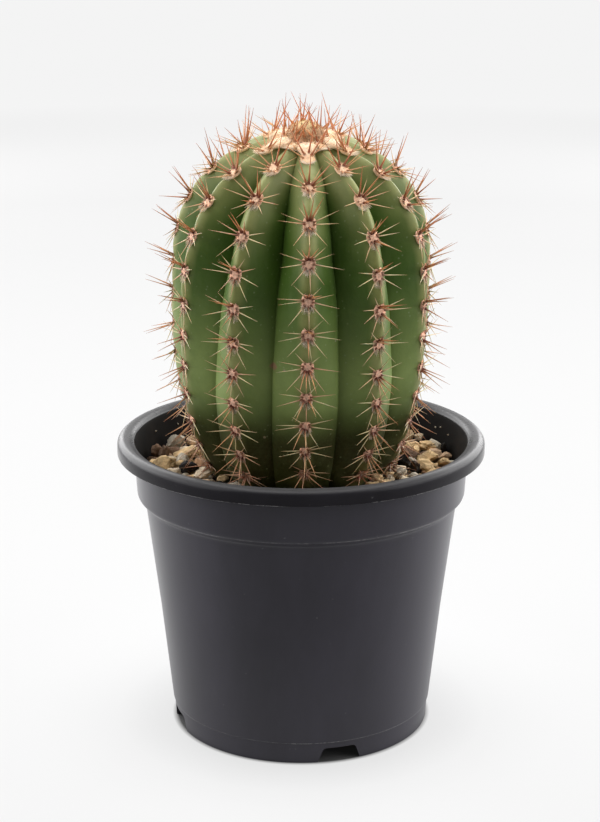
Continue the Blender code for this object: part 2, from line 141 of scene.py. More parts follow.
class Nodes:
    """The node tree of one new material, with short calls for the nodes that a finish is made of."""

    def __init__(self, name):
        self.material = bpy.data.materials.new(name)
        self.material.use_nodes = True
        self.tree = self.material.node_tree
        self.shader = self.tree.nodes["Principled BSDF"]
        where = self.tree.nodes.new("ShaderNodeTexCoord")
        self.place = where.outputs["Object"]
        self.facing = where.outputs["Normal"]

    def add(self, kind, inputs=(), **settings):
        """A node of this kind, with its settings made and its inputs fed."""
        made = self.tree.nodes.new(kind)
        for key, value in settings.items():
            setattr(made, key, value)
        for key, value in dict(inputs).items():
            self.feed(made.inputs[key], value)
        return made

    def feed(self, socket, value):
        """Links another node's output to the socket, or sets the socket's own value."""
        if isinstance(value, bpy.types.NodeSocket):
            self.tree.links.new(value, socket)
        elif isinstance(value, tuple) and len(value) == 3 and len(socket.default_value) == 4:
            socket.default_value = (*value, 1.0)
        else:
            socket.default_value = value

    def noise(self, scale, detail=4.0, roughness=0.55, stretch=None):
        """Noise over the object's own coordinates, 0 to 1."""
        place = self.place
        if stretch:
            place = self.add("ShaderNodeMapping", {"Vector": place, "Scale": stretch}).outputs[0]
        return self.add("ShaderNodeTexNoise", {"Vector": place, "Scale": scale, "Detail": detail,
                                               "Roughness": roughness}).outputs["Fac"]

    def spread(self, value, low, high, to_low=0.0, to_high=1.0):
        """Turns the range from low to high into the one from to_low to to_high."""
        return self.add("ShaderNodeMapRange", {"Value": value, "From Min": low, "From Max": high,
                                               "To Min": to_low, "To Max": to_high}).outputs[0]

    def math(self, operation, first, second=0.0):
        made = self.add("ShaderNodeMath", operation=operation)
        self.feed(made.inputs[0], first)
        self.feed(made.inputs[1], second)
        return made.outputs[0]

    def mix(self, share, first, second, blend="MIX"):
        """The first colour where share is 0 and the second where it is 1."""
        made = self.add("ShaderNodeMix", data_type="RGBA", blend_type=blend)
        self.feed(made.inputs["Factor"], share)
        self.feed(made.inputs["A"], first)
        self.feed(made.inputs["B"], second)
        return made.outputs["Result"]

    def bump(self, height, strength, distance):
        made = self.add("ShaderNodeBump", {"Height": height, "Strength": strength, "Distance": distance})
        self.tree.links.new(made.outputs[0], self.shader.inputs["Normal"])

    def finish(self, color, roughness, **constants):
        """Feeds the shader and hands over the material."""
        self.feed(self.shader.inputs["Base Color"], color)
        self.feed(self.shader.inputs["Roughness"], roughness)
        for key, value in constants.items():
            self.shader.inputs[key.replace("_", " ")].default_value = value
        return self.material


def pot_plastic():
    """Black plastic with faint smears, a fine moulded grain and painted highlights along its edges."""
    plastic = Nodes("moulded_plastic")
    height = plastic.add("ShaderNodeSeparateXYZ", {"Vector": plastic.place}).outputs["Z"]
    # Painted highlights: pale patchy bands along the lip's lower edge, the collar's shoulder and the foot
    # ring, where these edges catch the light.
    highlight_noise = plastic.noise(900.0, 3.0)
    painted_edge_light = 0.0
    for edge, reach, patches in EDGE_HIGHLIGHTS:
        distance = plastic.math("ABSOLUTE", plastic.math("SUBTRACT", height, edge))
        band = plastic.spread(distance, reach, reach * 0.3)
        patch = plastic.spread(plastic.noise(60.0, 5.0, 0.7), patches - 0.08, patches + 0.06)
        patch = plastic.math("MULTIPLY", patch, plastic.spread(highlight_noise, 0.35, 0.6))
        painted_edge_light = plastic.math("ADD", plastic.math("MULTIPLY", band, patch), painted_edge_light)
    smears = plastic.noise(16.0, 6.0, 0.65, (1.0, 1.0, 0.35))
    specks = plastic.spread(plastic.noise(420.0, 2.0), 0.74, 0.80, 0.0, 0.5)
    # Painted shade: the inside of the collar is darker than the wall, dull, and blotched with dust.
    flat = plastic.add("ShaderNodeVectorMath", {0: plastic.place, 1: (1.0, 1.0, 0.0)}, operation="MULTIPLY")
    reach = plastic.add("ShaderNodeVectorMath", {0: flat.outputs[0]}, operation="LENGTH").outputs["Value"]
    turn_in = plastic.spread(height, COLLAR_FOOT[0], COLLAR_TOP[0], COLLAR_FOOT[1], COLLAR_TOP[1])
    inside = plastic.spread(plastic.math("SUBTRACT", reach, turn_in), 0.0001, -0.0001)
    inside = plastic.math("MULTIPLY", inside, plastic.spread(height, 0.1000, 0.1010))
    lip = plastic.spread(height, *LIP_UNDERSIDE)
    base = plastic.mix(lip, WALL_PLASTIC, LIP_PLASTIC)
    smeared = plastic.mix(plastic.spread(smears, 0.35, 0.65), (0.75, 0.75, 0.75), (1.3, 1.3, 1.3))
    base = plastic.mix(1.0, base, smeared, "MULTIPLY")
    # Painted sheen: where the rim faces up it is paler, in place of its reflection of the overhead light.
    facing = plastic.add("ShaderNodeSeparateXYZ", {"Vector": plastic.facing}).outputs["Z"]
    base = plastic.mix(plastic.math("MULTIPLY", plastic.spread(facing, 0.45, 0.95), lip), base, RIM_TOP_SHEEN)
    base = plastic.mix(plastic.math("MULTIPLY", specks, 0.4), base, SPECK_AND_HIGHLIGHT_GREY)
    # The painted highlights along the edges go on top.
    base = plastic.mix(painted_edge_light, base, SPECK_AND_HIGHLIGHT_GREY)
    # Painted shade with dust inside the collar.
    shaded_dust = plastic.mix(plastic.spread(smears, 0.45, 0.6), SHADED_INSIDE_PLASTIC, SHADED_INSIDE_DUST)
    base = plastic.mix(inside, base, shaded_dust)
    roughness = plastic.spread(smears, 0.3, 0.7, 0.30, 0.40)
    # The lip is smoother than the wall, and less shiny.
    roughness = plastic.math("SUBTRACT", roughness, plastic.math("MULTIPLY", lip, 0.06))
    roughness = plastic.math("MAXIMUM", roughness, plastic.math("MULTIPLY", inside, 0.7))
    gloss = plastic.math("SUBTRACT", 0.45, plastic.math("MULTIPLY", lip, 0.33))
    gloss = plastic.math("MINIMUM", gloss, plastic.spread(inside, 0.0, 1.0, 0.45, 0.10))
    plastic.feed(plastic.shader.inputs["Specular IOR Level"], gloss)
    plastic.bump(plastic.noise(1500.0, 2.0), 0.12, 0.0002)
    return plastic.finish(base, roughness)


def notch_cutter(degrees):
    """The wedge that is cut out of the foot ring at this angle."""
    bm = bmesh.new()
    bmesh.ops.create_cube(bm, size=1.0)
    for vert in bm.verts:
        top = vert.co.z > 0
        vert.co.x *= NOTCH_TOP if top else NOTCH_BOTTOM
        vert.co.y *= NOTCH_REACH
        vert.co.z = NOTCH_HEIGHT if top else -0.001
    upper_edges = [edge for edge in bm.edges if all(vert.co.z > 0 for vert in edge.verts)
                   and abs(edge.verts[0].co.y - edge.verts[1].co.y) > 0.001]
    bmesh.ops.bevel(bm, geom=upper_edges, offset=0.0012, segments=3, profile=0.5, affect="EDGES", material=-1)
    to_foot = Matrix.Translation((0.0, -FOOT_RADIUS, 0.0))
    bm.transform(Matrix.Rotation(math.radians(degrees), 4, "Z") @ to_foot)
    return finished("notch", bm, PLASTIC)


def drain_cutter(centre):
    """The round hole that is cut through the floor here."""
    bm = bmesh.new()
    bmesh.ops.create_cone(bm, cap_ends=True, segments=32, radius1=DRAIN_RADIUS, radius2=DRAIN_RADIUS,
                          depth=DRAIN_CUT)
    bm.transform(Matrix.Translation(centre))
    return finished("drain", bm, PLASTIC)


PLASTIC = pot_plastic()
pot = finished("nursery_pot", spun(POT_PROFILE_MM, POT_STEPS), PLASTIC)
cutters = [notch_cutter(degrees) for degrees in NOTCH_DEGREES]
cutters += [drain_cutter(around(DRAIN_CIRCLE, degrees, DRAIN_LEVEL)) for degrees in NOTCH_DEGREES]
cutters.append(drain_cutter(Vector((0.0, 0.0, DRAIN_LEVEL))))
for cutter in cutters:
    cut = pot.modifiers.new(cutter.name, "BOOLEAN")
    cut.operation = "DIFFERENCE"
    cut.object = cutter
    cut.solver = "EXACT"
cut_mesh = bpy.data.meshes.new_from_object(pot.evaluated_get(bpy.context.evaluated_depsgraph_get()))
pot.modifiers.clear()
pot.data = cut_mesh
cut_mesh.materials.clear()
cut_mesh.materials.append(PLASTIC)
cut_mesh.polygons.foreach_set("material_index", [0] * len(cut_mesh.polygons))
cut_mesh.shade_smooth()
cut_mesh.set_sharp_from_angle(angle=math.radians(35))
for cutter in cutters:
    bpy.data.objects.remove(cutter)
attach(pot, "root")
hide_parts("pot")


# Stem. It grew as one body: eleven ribs round a fleshy core, widest above the
# middle, and leaning forward. Its own frame starts at the height of the gravel.
STEM_BASE = Vector((-0.0013, 0.0059, 0.1120))
LEAN_DEGREES = 10.0
ROLL_DEGREES = 1.3
RIB_COUNT = 11
RIB_PHASE_DEGREES = 2.6
STEM_RADIUS = 0.0522
WIDEST_HEIGHT = 0.0700
CROWN_HEIGHT = 0.0685
CROWN_POWER = 3.0
TAPER_DEPTH = 0.0955
TAPER_POWER = 2.5
RIB_DEPTHS = ((0.0, 0.0), (0.012, 0.0016), (0.025, 0.0056), (0.040, 0.0114), (0.064, 0.0144), (0.088, 0.0096),
              (0.110, 0.0064), (0.147, 0.0035), (0.175, 0.0018), (0.219, 0.0))
FLANK_POWER = 1.22
CREST_ROUNDING = 0.10
AREOLES_PER_RIB = 12
FIRST_AREOLE = 0.0174
AREOLE_SPACING = 0.01575
AREOLE_SPACING_LOSS = 0.00021
CREST_SWELL = 0.0012
COLUMNS_PER_RIB = 16
STEM_ROWS = 230
STEM_PLACE = (Matrix.Translation(STEM_BASE) @ Matrix.Rotation(math.radians(ROLL_DEGREES), 4, "Y")
              @ Matrix.Rotation(math.radians(LEAN_DEGREES), 4, "X"))


def stem_outline(steps=300):
    """Arc length, radius and height along a rib crest from the crown to the buried tip."""
    points = []
    for index in range(steps + 1):
        share = 1 - (index / steps) ** 2
        radius = STEM_RADIUS * math.sqrt(1 - share ** CROWN_POWER)
        points.append((radius, WIDEST_HEIGHT + CROWN_HEIGHT * share))
    for index in range(1, steps + 1):
        share = 1 - (1 - index / steps) ** 2
        radius = STEM_RADIUS * math.sqrt(1 - share ** TAPER_POWER)
        points.append((radius, WIDEST_HEIGHT - TAPER_DEPTH * share))
    arcs = [0.0]
    for before, after in zip(points, points[1:]):
        arcs.append(arcs[-1] + math.dist(before, after))
    return arcs, points


ARCS, OUTLINE = stem_outline()


def between(value, table):
    """Linear reading of a table of (position, number) pairs."""
    for (low, first), (high, second) in zip(table, table[1:]):
        if value <= high:
            share = (value - low) / (high - low)
            return first + (second - first) * max(share, 0.0)
    return table[-1][1]


def crest(arc):
    """Radius, height and outward normal of the rib crest at this arc length."""
    arc = min(max(arc, 0.0), ARCS[-1])
    low, high = 0, len(ARCS) - 1
    while high - low > 1:
        middle = (low + high) // 2
        if ARCS[middle] <= arc:
            low = middle
        else:
            high = middle
    share = (arc - ARCS[low]) / (ARCS[high] - ARCS[low])
    radius = OUTLINE[low][0] + (OUTLINE[high][0] - OUTLINE[low][0]) * share
    height = OUTLINE[low][1] + (OUTLINE[high][1] - OUTLINE[low][1]) * share
    before, after = OUTLINE[max(low - 3, 0)], OUTLINE[min(high + 3, len(OUTLINE) - 1)]
    along = Vector((after[0] - before[0], after[1] - before[1])).normalized()
    return radius, height, (-along.y, along.x)


def areole_arc(place):
    """Arc length of this place along the rib. Areoles stand closer together lower down."""
    return FIRST_AREOLE + AREOLE_SPACING * place - AREOLE_SPACING_LOSS * place * place


def areole_place(arc):
    """The place along the rib, in areoles, at this arc length."""
    inside = AREOLE_SPACING ** 2 - 4 * AREOLE_SPACING_LOSS * (arc - FIRST_AREOLE)
    return (AREOLE_SPACING - math.sqrt(max(inside, 0.0))) / (2 * AREOLE_SPACING_LOSS)


def rib_shift(rib):
    """Areoles on neighbouring ribs alternate, apart from two ribs at the back."""
    rib %= RIB_COUNT
    return -0.5 * (min(rib, RIB_COUNT - rib) % 2)


def flank_share(side):
    """How far down the flank goes at this side position, 0 on the crest and 1 in the valley."""
    side = abs(side)
    soft = CREST_ROUNDING
    top = (side * side + soft * soft) ** (FLANK_POWER / 2) - soft ** FLANK_POWER
    return top / ((1 + soft * soft) ** (FLANK_POWER / 2) - soft ** FLANK_POWER)


def rib_wander(rib, arc):
    """Ribs run a little crooked, in degrees."""
    return 1.6 * noise.noise(Vector((rib * 7.3, arc * 22.0, 4.0)))


def stem_point(rib, side, arc):
    """A point of the skin in the stem's frame. side is 0 on the crest and 1 or -1 in the valleys."""
    radius, height, normal = crest(arc)
    depth = between(arc, RIB_DEPTHS)
    beat = areole_place(arc) - rib_shift(rib)
    swell = CREST_SWELL * (abs(math.sin(math.pi * beat)) ** 0.8 - 0.6)
    swell *= min(arc / 0.03, 1.0) * math.exp(-(side / 0.45) ** 2)
    crease = 0.0005 * math.exp(-((1 - abs(side)) / 0.06) ** 2) * min(depth / 0.003, 1.0)
    sink = depth * flank_share(side) - swell + crease
    turn = math.radians(RIB_PHASE_DEGREES + (rib + side / 2) * 360 / RIB_COUNT)
    wander = rib_wander(rib, arc) * (1 - abs(side)) * min(arc / 0.03, 1.0)
    turn += math.radians(wander)
    ripple = 0.0005 * noise.noise(Vector((math.cos(turn) * 3.0, math.sin(turn) * 3.0, arc * 60.0)))
    out = max(radius - normal[0] * (sink - ripple), 0.0)
    return Vector((out * math.sin(turn), -out * math.cos(turn), height - normal[1] * (sink - ripple)))


def stem_frame(rib, arc):
    """Where an areole sits in the world, with its outward, upward and sideways directions."""
    centre = stem_point(rib, 0.0, arc)
    above, below = stem_point(rib, 0.0, arc - 0.002), stem_point(rib, 0.0, arc + 0.002)
    upward = (above - below).normalized()
    degrees = RIB_PHASE_DEGREES + rib * 360 / RIB_COUNT + rib_wander(rib, arc)
    sideways = around(1.0, degrees + 90, 0.0)
    outward = sideways.cross(upward).normalized()
    turn = STEM_PLACE.to_3x3()
    return STEM_PLACE @ centre, turn @ outward, turn @ upward, turn @ sideways


def blended(first, second, share):
    """The first colour where share is 0 and the second where it is 1."""
    return tuple(a + (b - a) * share for a, b in zip(first, second))


def soft_step(low, high, value):
    """0 at low and 1 at high, with an eased rise between them. high may be the smaller one."""
    share = min(max((value - low) / (high - low), 0.0), 1.0)
    return share * share * (3 - 2 * share)


# Rib, side, arc length, radius and colour of the scab in the valley and of a few small marks.
SKIN_SPOTS = (
    (0, -0.95, 0.1075, 0.0019, (0.230, 0.140, 0.075)), (0, -0.62, 0.1075, 0.0006, (0.240, 0.210, 0.120)),
    (0, 0.86, 0.0965, 0.0006, (0.240, 0.230, 0.140)), (-1, 0.80, 0.1390, 0.0007, (0.200, 0.170, 0.100)),
    (3, 0.40, 0.0800, 0.0010, (0.210, 0.180, 0.100)), (5, -0.50, 0.0950, 0.0012, (0.190, 0.120, 0.070)),
    (7, 0.70, 0.0600, 0.0009, (0.220, 0.190, 0.110)), (-3, -0.30, 0.1100, 0.0009, (0.210, 0.170, 0.100)),
)
UPPER_FLANK = (0.044, 0.092, 0.009)
# Pale old flanks low down: their age, and painted sheen of the side light.
OLD_AND_SHEEN_FLANK = (0.164, 0.220, 0.062)
# Dark flank colour of the foot: painted shade near the gravel.
SHADED_FOOT_FLANK = (0.021, 0.023, 0.003)
CROWN_RIDGE = (0.260, 0.275, 0.108)
UPPER_RIDGE = (0.205, 0.220, 0.068)
OLD_RIDGE = (0.225, 0.235, 0.085)
# Dark crest colour of the foot: painted shade near the gravel.
SHADED_FOOT_RIDGE = (0.090, 0.086, 0.024)
FLECK = (0.26, 0.31, 0.17)
STREAK = (0.20, 0.24, 0.12)
# Arc lengths between which the skin grows old and pale, partly painted sheen, and heights between which it
# darkens with painted shade.
AGE_AND_SHEEN_FROM, AGE_AND_SHEEN_TO = 0.069, 0.119
FOOT_SHADE_FROM, FOOT_SHADE_TO = 0.153, 0.131


def skin_tint(rib, side, arc, height):
    """Skin colour before its flecks: green flanks that pale with age and with painted sheen, paler crests
    with a painted highlight, a foot darkened with painted shade.
    """
    age = soft_step(AGE_AND_SHEEN_FROM, AGE_AND_SHEEN_TO, arc)
    # Painted shade: the skin darkens towards its foot.
    foot = soft_step(FOOT_SHADE_FROM, FOOT_SHADE_TO, height)
    from_crest = abs(side) * crest(arc)[0] * math.pi / RIB_COUNT
    beat = areole_place(arc) - rib_shift(rib)
    # The crests are paler, partly their own yellowish skin and partly a painted highlight. The band is
    # stronger between the areoles, a painted highlight on the swelling, and weaker beside them, a painted
    # shade.
    band = 1 - soft_step(0.0014, 0.0046, from_crest)
    band *= 0.45 + 0.55 * soft_step(0.15, 0.7, abs(beat - round(beat)) * 2)
    upper = (1 - soft_step(0.025, 0.080, arc)) * (1 - soft_step(0.004, 0.010, from_crest)) * 0.75
    # Low down the flanks pale with age and with painted sheen.
    flank = blended(UPPER_FLANK, OLD_AND_SHEEN_FLANK, age)
    ridge = blended(blended(CROWN_RIDGE, UPPER_RIDGE, soft_step(0.02, 0.07, arc)), OLD_RIDGE, age)
    return blended(blended(flank, SHADED_FOOT_FLANK, foot), blended(ridge, SHADED_FOOT_RIDGE, foot), max(band, upper))


def stem_skin():
    """Waxy skin: fine pale flecks and soft blotches over the tint, a healed scab, and the tint's dark foot,
    which is painted shade.
    """
    skin = Nodes("cactus_skin")
    tint = skin.add("ShaderNodeAttribute", attribute_name="tint").outputs["Color"]
    blotches = skin.noise(55.0, 5.0, 0.6)
    fine = skin.noise(900.0, 3.0, 0.6)
    base = skin.mix(1.0, tint, skin.mix(blotches, (0.55, 0.62, 0.50), (1.45, 1.38, 1.50)), "MULTIPLY")
    streaks = skin.noise(70.0, 4.0, 0.6, (1.0, 1.0, 0.22))
    base = skin.mix(skin.spread(streaks, 0.55, 0.75, 0.0, 0.16), base, STREAK)
    flecks = skin.add("ShaderNodeTexVoronoi", {"Vector": skin.place, "Scale": 330.0, "Randomness": 1.0})
    base = skin.mix(skin.spread(flecks.outputs["Distance"], 0.16, 0.08, 0.0, 0.30), base, FLECK)
    base = skin.mix(skin.spread(fine, 0.3, 0.7, 0.0, 0.16), base, (0.10, 0.14, 0.05))
    for rib, side, arc, reach, color in SKIN_SPOTS:
        spot = tuple(STEM_PLACE @ stem_point(rib, side, arc))
        away = skin.add("ShaderNodeVectorMath", {0: skin.place, 1: spot}, operation="DISTANCE")
        ragged = skin.math("MULTIPLY", skin.math("SUBTRACT", fine, 0.5), reach)
        away = skin.math("ADD", away.outputs["Value"], ragged)
        base = skin.mix(skin.spread(away, reach, reach * 0.6), base, color)
    skin.bump(skin.math("ADD", skin.math("MULTIPLY", fine, 0.4), blotches), 0.25, 0.0004)
    roughness = skin.spread(blotches, 0.3, 0.7, 0.42, 0.54)
    return skin.finish(base, roughness, Specular_IOR_Level=0.22)


def make_stem():
    """A ball whose rows become arc lengths and whose columns become the ribs' flanks."""
    bm = bmesh.new()
    columns = RIB_COUNT * COLUMNS_PER_RIB
    bmesh.ops.create_uvsphere(bm, u_segments=columns, v_segments=STEM_ROWS, radius=1.0)
    layer = bm.verts.layers.float_color.new("tint")
    for vert in bm.verts:
        row = math.acos(max(-1.0, min(1.0, vert.co.z))) / math.pi
        # Rows crowd a little towards the crown.
        arc = ARCS[-1] * row ** 1.15
        turn = math.atan2(vert.co.x, -vert.co.y) / math.tau * columns
        rib, column = divmod(round(turn) + COLUMNS_PER_RIB // 2, COLUMNS_PER_RIB)
        side = (column - COLUMNS_PER_RIB / 2) / (COLUMNS_PER_RIB / 2)
        if row < 1e-4 or row > 1 - 1e-4:
            side = 0.0
        # Columns crowd towards the crest and the valley, where the skin turns most.
        side = side - 0.10 * math.sin(math.tau * side)
        vert.co = STEM_PLACE @ stem_point(rib, side, arc)
        vert[layer] = (*skin_tint(rib, side, arc, vert.co.z), 1.0)
    bmesh.ops.recalc_face_normals(bm, faces=bm.faces)
    return finished("cactus_stem", bm, stem_skin(), 60)


stem = make_stem()
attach(stem, "root")
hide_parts("cactus")


# Areoles. Along each crest sit round cushions of short pinkish felt, which the
# spines grow out of. Young ones at the crown are larger and creamier.
PAD_WIDTH = 0.0050
PAD_LENGTH = 0.0064
PAD_RISE = 0.0009
HAIRS_PER_PAD = 210
FRINGE_HAIRS = 70
HAIR_RADIUS = 0.00008
TUFT_KINDS = 7
OLD_FELT = (1.00, 0.60, 0.42)
GREY_FELT = (0.80, 0.50, 0.37)
YOUNG_FELT = (1.00, 0.72, 0.47)
SOILED_FELT = (0.20, 0.12, 0.07)
FRINGE = (0.92, 0.86, 0.74)
LOWEST_AREOLE = 0.1135


def felt():
    """Dense short felt: every pad and hair carries its own tint, and noise breaks it up."""
    wool = Nodes("areole_felt")
    tint = wool.add("ShaderNodeAttribute", attribute_name="tint").outputs["Color"]
    grain = wool.noise(1600.0, 4.0, 0.7)
    base = wool.mix(wool.spread(grain, 0.45, 0.7, 0.0, 0.22), tint, (0.30, 0.16, 0.10))
    wool.bump(grain, 0.6, 0.0005)
    return wool.finish(base, 0.9, Specular_IOR_Level=0.2, Sheen_Weight=0.3, Sheen_Roughness=0.5)


def each_areole():
    """Rib, arc length, and youth (1 at the crown, 0 low down) of every areole above the gravel."""
    for rib in range(RIB_COUNT):
        for place in range(AREOLES_PER_RIB):
            arc = areole_arc(place + rib_shift(rib))
            if stem_frame(rib, arc)[0].z > LOWEST_AREOLE:
                yield rib, arc, 1 - soft_step(0.0, 0.07, arc)


def pattern(name, bm):
    """A mesh to be copied many times."""
    mesh = bpy.data.meshes.new(name)
    bm.to_mesh(mesh)
    bm.free()
    return mesh


def tinted_copy(mesh):
    """A bmesh copy of the mesh, and its layer of tints."""
    part = bmesh.new()
    part.from_mesh(mesh)
    return part, part.verts.layers.float_color.new("tint")


def gather(whole, part):
    """Moves a small bmesh into the whole one."""
    mesh = pattern("part", part)
    whole.from_mesh(mesh)
    bpy.data.meshes.remove(mesh)


hair_shape = bmesh.new()
bmesh.ops.create_cone(hair_shape, cap_ends=True, segments=3, radius1=1.0, radius2=0.0, depth=1.0)
HAIR = pattern("hair", hair_shape)


def add_hair(whole, root, direction, length, radius, color, alpha=1.0):
    """One fine three-sided hair."""
    turn = direction.to_track_quat("Z", "Y").to_matrix()
    bm, layer = tinted_copy(HAIR)
    for vert in bm.verts:
        vert[layer] = (*color, alpha)
        vert.co = root + turn @ Vector((vert.co.x * radius, vert.co.y * radius, (vert.co.z + 0.5) * length))
    gather(whole, bm)


def pad_size(arc, youth):
    """Half width, half length and rise of the felt cushion at this arc length."""
    size = (1.0 + 0.15 * youth) * (1 - 0.22 * soft_step(0.09, 0.16, arc))
    crowding = min(crest(arc)[0] / 0.013, 1.0)
    half_width = PAD_WIDTH * size * crowding / 2
    half_length = PAD_LENGTH * size * (1 - 0.1 * youth) / 2
    return half_width, half_length, PAD_RISE * (1 + 0.2 * youth)


def felt_tuft(seed):
    """One cushion with its hairs, at its plain size, facing +Z. Its tints are shades.

    The tint's alpha marks the fringe.
    """
    rng = random.Random(seed)
    whole = bmesh.new()
    bm = bmesh.new()
    layer = bm.verts.layers.float_color.new("tint")
    made = bmesh.ops.create_uvsphere(bm, u_segments=16, v_segments=10, radius=1.0)["verts"]
    swirl = rng.uniform(0.0, math.tau)
    here = Vector((seed * 5.1, 0.0, 0.0))

    def shade_at(x, y):
        """The felt is combed into a swirl, dark and light, round an older middle."""
        flat = math.hypot(x, y)
        comb = math.sin(2 * math.atan2(y, x) + flat * 7.0 + swirl)
        shade = 0.98 + 0.28 * comb * flat + 0.50 * noise.noise(Vector((x, y, 0.0)) * 3.5 + here)
        return shade * (1 - 0.30 * soft_step(0.5, 0.0, flat))

    for vert in made:
        point = vert.co * (1 + 0.16 * noise.noise(vert.co * 3.0 + here))
        shade = shade_at(point.x, point.y)
        vert[layer] = (shade, shade, shade, 0.0)
        vert.co = Vector((point.x * PAD_WIDTH / 2, point.y * PAD_LENGTH / 2, point.z * PAD_RISE))
    gather(whole, bm)
    for index in range(HAIRS_PER_PAD + FRINGE_HAIRS):
        angle = rng.uniform(0.0, math.tau)
        reach = rng.random() ** 0.4
        if index >= HAIRS_PER_PAD:
            angle = math.pi * rng.uniform(1.12, 1.88)
            reach = rng.uniform(0.85, 1.0)
        x, y = math.cos(angle) * reach, math.sin(angle) * reach
        sunk = PAD_RISE * math.sqrt(1 - 0.8 * reach * reach) * 0.75
        root = Vector((x * PAD_WIDTH * 0.48, y * PAD_LENGTH * 0.48, sunk))
        direction = Vector((x * 1.7, y * 1.7, 1.0)) + Vector([rng.uniform(-0.45, 0.45) for _ in range(3)])
        # A paler fringe hangs from the lower edge.
        fringe = soft_step(-0.25, -0.7, y)
        direction += Vector((0.0, -1.6, 0.1)) * fringe
        length = rng.uniform(0.0005, 0.0010) * (1 + 2.0 * fringe)
        shade = shade_at(x, y) * rng.uniform(0.75, 1.3)
        add_hair(whole, root, direction.normalized(), length, HAIR_RADIUS, (shade, shade, shade), fringe)
    return pattern("tuft", whole)


def make_felt():
    """The felt of all areoles, each a tuft picked by lot, fitted to its rib and tinted by its age."""
    rng = random.Random(5)
    whole = bmesh.new()
    tufts = [felt_tuft(seed) for seed in range(TUFT_KINDS)]
    for rib, arc, youth in each_areole():
        centre, outward, upward, sideways = stem_frame(rib, arc)
        wide, long, rise = pad_size(arc, youth)
        color = blended(blended(OLD_FELT, GREY_FELT, rng.random() * 0.6), YOUNG_FELT, youth ** 0.8)
        color = blended(color, SOILED_FELT, soft_step(0.132, 0.115, centre.z) * 0.85)
        fringe_share = 0.75 * (1 - soft_step(0.135, 0.118, centre.z))
        scale = Vector((wide * 2 / PAD_WIDTH, long * 2 / PAD_LENGTH, rise / PAD_RISE))
        if rng.random() < 0.5:
            scale.x = -scale.x
        bm = bmesh.new()
        bm.from_mesh(rng.choice(tufts))
        layer = bm.verts.layers.float_color["tint"]
        for vert in bm.verts:
            shade, _, _, fringe = vert[layer]
            # Young felt is more even.
            shade += (1.0 - shade) * (youth * 0.6)
            tone = tuple(part * shade for part in color)
            vert[layer] = (*blended(tone, FRINGE, fringe * fringe_share), 1.0)
            point = vert.co * scale
            vert.co = centre + sideways * point.x + upward * point.y + outward * point.z
        if scale.x < 0:
            bmesh.ops.reverse_faces(bm, faces=bm.faces)
        gather(whole, bm)
    return finished("areole_felt", whole, felt(), 60)


areole_felt = make_felt()
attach(areole_felt, "root")


# Spines. Each areole bears about nine straight radial spines and a few stouter
# central ones, horn coloured, red-brown at the foot and pale along the middle.
SPINE_FOOT = (0.120, 0.032, 0.018)
SPINE_PALE = (0.560, 0.500, 0.290)
SPINE_PINK = (0.540, 0.300, 0.190)
SPINE_TIP = (0.300, 0.160, 0.090)
DARK_TIP = (0.100, 0.065, 0.045)
CENTRAL_RED = (0.360, 0.110, 0.045)
YOUNG_ORANGE = (0.560, 0.260, 0.110)
DEAD_BROWN = (0.330, 0.180, 0.120)
# Angle from straight up and length of the radial spines of one areole.
RADIALS = ((-138, 0.0092), (-98, 0.0104), (-74, 0.0096), (-40, 0.0066), (40, 0.0066), (74, 0.0096),
           (98, 0.0104), (138, 0.0092), (180, 0.0088))
RADIAL_RADIUS = 0.00029
CENTRAL_RADIUS = 0.00040
STONE_TOPS = 0.1115
DRY_SPINES = 14


def horn():
    """Streaked, slightly shiny horn over each spine's own tint."""
    spine = Nodes("spine_horn")
    tint = spine.add("ShaderNodeAttribute", attribute_name="tint").outputs["Color"]
    streak = spine.noise(700.0, 3.0)
    base = spine.mix(spine.spread(streak, 0.35, 0.65, 0.0, 0.35), tint, (0.62, 0.46, 0.30), "OVERLAY")
    spine.bump(streak, 0.2, 0.0002)
    return spine.finish(base, 0.45, Specular_IOR_Level=0.3, Subsurface_Weight=0.1, Subsurface_Scale=0.001)


spine_shape = bmesh.new()
bmesh.ops.create_cone(spine_shape, cap_ends=True, segments=5, radius1=1.0, radius2=0.12, depth=1.0)
for cut_height in (-0.45, -0.36, -0.20, 0.15):
    everything = spine_shape.verts[:] + spine_shape.edges[:] + spine_shape.faces[:]
    bmesh.ops.bisect_plane(spine_shape, geom=everything, plane_co=(0, 0, cut_height), plane_no=(0, 0, 1))
SPINE = pattern("spine", spine_shape)


def add_spine(whole, root, direction, length, radius, bend, colors):
    """One tapering five-sided spine. colors holds its foot, middle and tip."""
    turn = direction.to_track_quat("Z", "Y").to_matrix()
    side = turn @ Vector((1.0, 0.0, 0.0))
    foot, middle, tip = colors
    bm, layer = tinted_copy(SPINE)
    for vert in bm.verts:
        along = vert.co.z + 0.5
        width = radius * (1.0 + 0.8 * math.exp(-along / 0.07))
        flat = turn @ Vector((vert.co.x * width, vert.co.y * width, 0.0))
        vert.co = root + direction * (along * length) + side * (bend * length * along * along) + flat
        color = blended(foot, middle, soft_step(0.05, 0.26, along))
        vert[layer] = (*blended(color, tip, soft_step(0.6, 1.0, along)), 1.0)
    gather(whole, bm)


